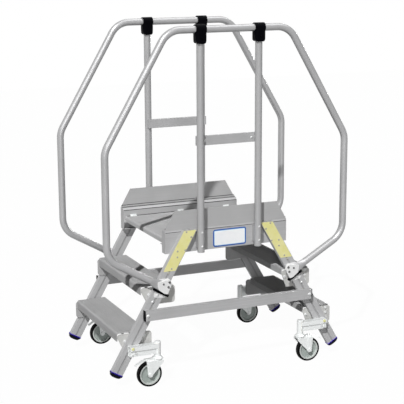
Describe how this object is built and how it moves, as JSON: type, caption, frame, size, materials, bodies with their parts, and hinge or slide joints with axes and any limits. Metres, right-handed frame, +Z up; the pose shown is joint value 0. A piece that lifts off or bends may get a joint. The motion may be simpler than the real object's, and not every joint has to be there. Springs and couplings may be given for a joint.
{
  "type": "double-sided platform ladder",
  "caption": "Double-sided rolling platform ladder: treads up both sides, guarded deck between bent tube handrails, braced stiles with foot caps, swivel castors on side arms.",
  "frame": {"origin": "on the floor, under the middle of the deck", "axes": "+Z up, +X along the climb towards the right-hand steps, +Y across the ladder, away from the picture's near side"},
  "size_m": [1.306, 0.754, 1.7275],
  "materials": {
    "aluminium_profile": "satin extruded",
    "aluminium_sheet": "satin, finely ribbed",
    "aluminium_tube": "satin drawn tube",
    "cast_aluminium": "pressed plate, light",
    "castor_steel": "bright zinc",
    "black_plastic": "matt",
    "blue_plastic": "satin",
    "wheel_plastic": "satin",
    "tyre_rubber": "matt rubber"
  },
  "bodies": {
    "ladder": {"deck": "aluminium_sheet", "beam_near": "aluminium_profile", "toe_board_near": "aluminium_sheet", "handrail_near": "aluminium_tube", "mid_rail_near": "aluminium_profile", "brace_near": "aluminium_profile", "stile_near_left": "aluminium_profile", "foot_near_left": "blue_plastic", "post_near_left": "aluminium_tube", "clamp_near_left": "black_plastic", "brace_cap_near_left": "black_plastic", "castor_arm_near_left": "castor_steel", "stile_near_right": "aluminium_profile", "foot_near_right": "blue_plastic", "post_near_right": "aluminium_tube", "clamp_near_right": "black_plastic", "brace_cap_near_right": "black_plastic", "castor_arm_near_right": "castor_steel", "beam_far": "aluminium_profile", "toe_board_far": "aluminium_sheet", "handrail_far": "aluminium_tube", "mid_rail_far": "aluminium_profile", "brace_far": "aluminium_profile", "stile_far_left": "aluminium_profile", "foot_far_left": "blue_plastic", "post_far_left": "aluminium_tube", "clamp_far_left": "black_plastic", "brace_cap_far_left": "black_plastic", "castor_arm_far_left": "castor_steel", "stile_far_right": "aluminium_profile", "foot_far_right": "blue_plastic", "post_far_right": "aluminium_tube", "clamp_far_right": "black_plastic", "brace_cap_far_right": "black_plastic", "castor_arm_far_right": "castor_steel", "tread_1_left": "aluminium_sheet", "end_plate_1_left_near": "cast_aluminium", "end_plate_1_left_far": "cast_aluminium", "tread_1_right": "aluminium_sheet", "end_plate_1_right_near": "cast_aluminium", "end_plate_1_right_far": "cast_aluminium", "tread_2_left": "aluminium_sheet", "end_plate_2_left_near": "cast_aluminium", "end_plate_2_left_far": "cast_aluminium", "tread_2_right": "aluminium_sheet", "end_plate_2_right_near": "cast_aluminium", "end_plate_2_right_far": "cast_aluminium"},
    "castor_near_left": {"fork_near_left": "castor_steel"},
    "wheel_near_left": {"rim_near_left": "wheel_plastic", "tyre_near_left": "tyre_rubber"},
    "castor_near_right": {"fork_near_right": "castor_steel"},
    "wheel_near_right": {"rim_near_right": "wheel_plastic", "tyre_near_right": "tyre_rubber"},
    "castor_far_left": {"fork_far_left": "castor_steel"},
    "wheel_far_left": {"rim_far_left": "wheel_plastic", "tyre_far_left": "tyre_rubber"},
    "castor_far_right": {"fork_far_right": "castor_steel"},
    "wheel_far_right": {"rim_far_right": "wheel_plastic", "tyre_far_right": "tyre_rubber"}
  },
  "joints": [
    {"name": "swivel_near_left", "type": "hinge", "parent": "ladder", "child": "castor_near_left", "pos_m": [-0.39107, -0.348, 0.136], "axis": [0, 0, 1], "continuous": true},
    {"name": "spin_near_left", "type": "hinge", "parent": "castor_near_left", "child": "wheel_near_left", "pos_m": [-0.43607, -0.348, 0.0625], "axis": [0, 1, 0], "continuous": true},
    {"name": "swivel_near_right", "type": "hinge", "parent": "ladder", "child": "castor_near_right", "pos_m": [0.39107, -0.348, 0.136], "axis": [0, 0, 1], "continuous": true},
    {"name": "spin_near_right", "type": "hinge", "parent": "castor_near_right", "child": "wheel_near_right", "pos_m": [0.43607, -0.348, 0.0625], "axis": [0, 1, 0], "continuous": true},
    {"name": "swivel_far_left", "type": "hinge", "parent": "ladder", "child": "castor_far_left", "pos_m": [-0.39107, 0.348, 0.136], "axis": [0, 0, 1], "continuous": true},
    {"name": "spin_far_left", "type": "hinge", "parent": "castor_far_left", "child": "wheel_far_left", "pos_m": [-0.43607, 0.348, 0.0625], "axis": [0, 1, 0], "continuous": true},
    {"name": "swivel_far_right", "type": "hinge", "parent": "ladder", "child": "castor_far_right", "pos_m": [0.39107, 0.348, 0.136], "axis": [0, 0, 1], "continuous": true},
    {"name": "spin_far_right", "type": "hinge", "parent": "castor_far_right", "child": "wheel_far_right", "pos_m": [0.43607, 0.348, 0.0625], "axis": [0, 1, 0], "continuous": true}
  ]
}
